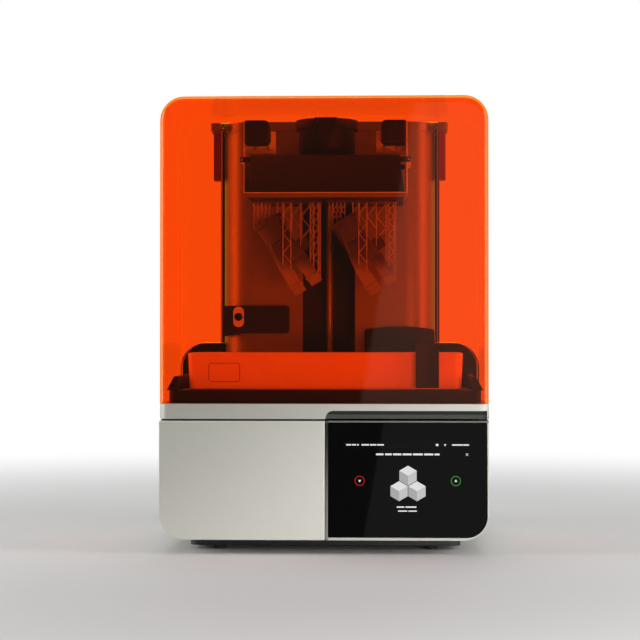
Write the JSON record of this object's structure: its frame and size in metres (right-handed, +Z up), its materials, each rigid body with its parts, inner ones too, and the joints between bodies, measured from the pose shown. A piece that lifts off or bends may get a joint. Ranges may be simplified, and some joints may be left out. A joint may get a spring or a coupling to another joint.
{
  "type": "resin printer",
  "caption": "Desktop resin 3D printer with a silver base, touch display, orange tinted hinged cover, resin tank and build platform on a rear lift tower.",
  "frame": {"origin": "centre of the footprint, on the table surface under the rubber feet", "axes": "+Z up, the display and cover front face -Y, +X to the right as seen from the front"},
  "size_m": [0.398, 0.367, 0.554],
  "materials": {
    "silver_metal": "fine satin silver powder coat",
    "dark_sheet": "black powder coat",
    "black_plastic": "fine textured moulded plastic",
    "grey_plastic": "fine textured grey moulded plastic",
    "rubber_black": "soft black rubber",
    "display_glass": "black bonded cover glass",
    "cover_tint": "clear orange tinted acrylic, polished",
    "tank_tint": "cloudy orange moulded plastic",
    "clear_film": "clear release film",
    "aluminium": "machined",
    "steel": "ground steel",
    "brass": "turned",
    "board_green": "circuit board",
    "printed_resin": "cured grey resin with layer lines"
  },
  "bodies": {
    "base": {"rubber_feet": "rubber_black", "base_pan": "dark_sheet", "lower_shell": "silver_metal", "rear_panel": "dark_sheet", "front_panel": "silver_metal", "display_frame": "silver_metal", "display_glass": "display_glass", "display_module": "black_plastic", "seam_gasket": "rubber_black", "top_band": "silver_metal", "deck": "black_plastic", "mask_screen": "display_glass", "tank_rails": "black_plastic", "resin_tank": "tank_tint", "tank_film": "clear_film", "light_housing": "black_plastic", "led_board": "board_green", "heat_sink": "aluminium", "light_fan_frame": "black_plastic", "power_supply": "aluminium", "main_board": "board_green", "power_inlet": "black_plastic", "switch_frame": "black_plastic", "tower_shell": "grey_plastic", "tower_cap": "grey_plastic", "rear_housings": "black_plastic", "z_column": "dark_sheet", "z_rails": "steel", "z_motor": "dark_sheet", "screw_bearing": "aluminium", "camera_band": "black_plastic", "camera_bezel": "aluminium", "camera_lens": "display_glass", "heater_outlet": "black_plastic"},
    "cover": {"cover_hood": "cover_tint", "hinge_arms": "grey_plastic", "hinge_pins": "steel"},
    "carriage": {"carriage_block": "dark_sheet", "lead_nut": "brass", "carriage_arm": "dark_sheet", "build_plate": "aluminium", "platform_box": "dark_sheet", "pivot_pins": "steel", "platform_hub": "black_plastic", "printed_part_left": "printed_resin", "printed_part_right": "printed_resin", "print_supports_left": "printed_resin", "print_supports_right": "printed_resin"},
    "grip_left": {"side_plate_left": "steel", "squeeze_grip_left": "black_plastic"},
    "grip_right": {"side_plate_right": "steel", "squeeze_grip_right": "black_plastic"},
    "lever": {"lock_lever": "black_plastic"},
    "screw": {"lead_screw": "steel"},
    "mixer": {"mixer_arm": "black_plastic", "mixer_blade": "black_plastic"},
    "fan": {"light_fan_rotor": "black_plastic"},
    "rocker": {"power_switch": "black_plastic"},
    "cartridge": {"resin_cartridge": "black_plastic"}
  },
  "joints": [
    {"name": "cover_hinge", "type": "hinge", "parent": "base", "child": "cover", "pos_m": [0, 0.054, 0.54], "axis": [-1, 0, 0], "range_deg": [0, 85]},
    {"name": "carriage_slide", "type": "slide", "parent": "base", "child": "carriage", "axis": [0, 0, 1], "range_m": [-0.095, 0]},
    {"name": "screw_spin", "type": "hinge", "parent": "base", "child": "screw", "pos_m": [0, 0.052, 0.3], "axis": [0, 0, 1], "range_deg": [-20, 4300]},
    {"name": "mixer_slide", "type": "slide", "parent": "base", "child": "mixer", "axis": [1, 0, 0], "range_m": [-0.245, 0]},
    {"name": "lever_hinge", "type": "hinge", "parent": "carriage", "child": "lever", "pos_m": [0, -0.0996, 0.535], "axis": [-1, 0, 0], "range_deg": [0, 90]},
    {"name": "grip_left_squeeze", "type": "hinge", "parent": "carriage", "child": "grip_left", "pos_m": [-0.1037, -0.07, 0.482], "axis": [0, 1, 0], "range_deg": [0, 5], "stiffness_Nm_per_rad": 9},
    {"name": "grip_right_squeeze", "type": "hinge", "parent": "carriage", "child": "grip_right", "pos_m": [0.1037, -0.07, 0.482], "axis": [0, -1, 0], "range_deg": [0, 5], "stiffness_Nm_per_rad": 9},
    {"name": "fan_spin", "type": "hinge", "parent": "base", "child": "fan", "pos_m": [0, -0.062, 0.04], "axis": [0, 0, 1], "continuous": true},
    {"name": "rocker_tilt", "type": "hinge", "parent": "base", "child": "rocker", "pos_m": [-0.098, 0.174, 0.072], "axis": [1, 0, 0], "range_deg": [-10, 10]},
    {"name": "cartridge_lift", "type": "slide", "parent": "base", "child": "cartridge", "axis": [0, 0, 1], "range_m": [0, 0.22]}
  ],
  "couplings": [
    {"joint": "screw_spin", "follows": "carriage_slide", "rad_per_m": -785.4}
  ]
}
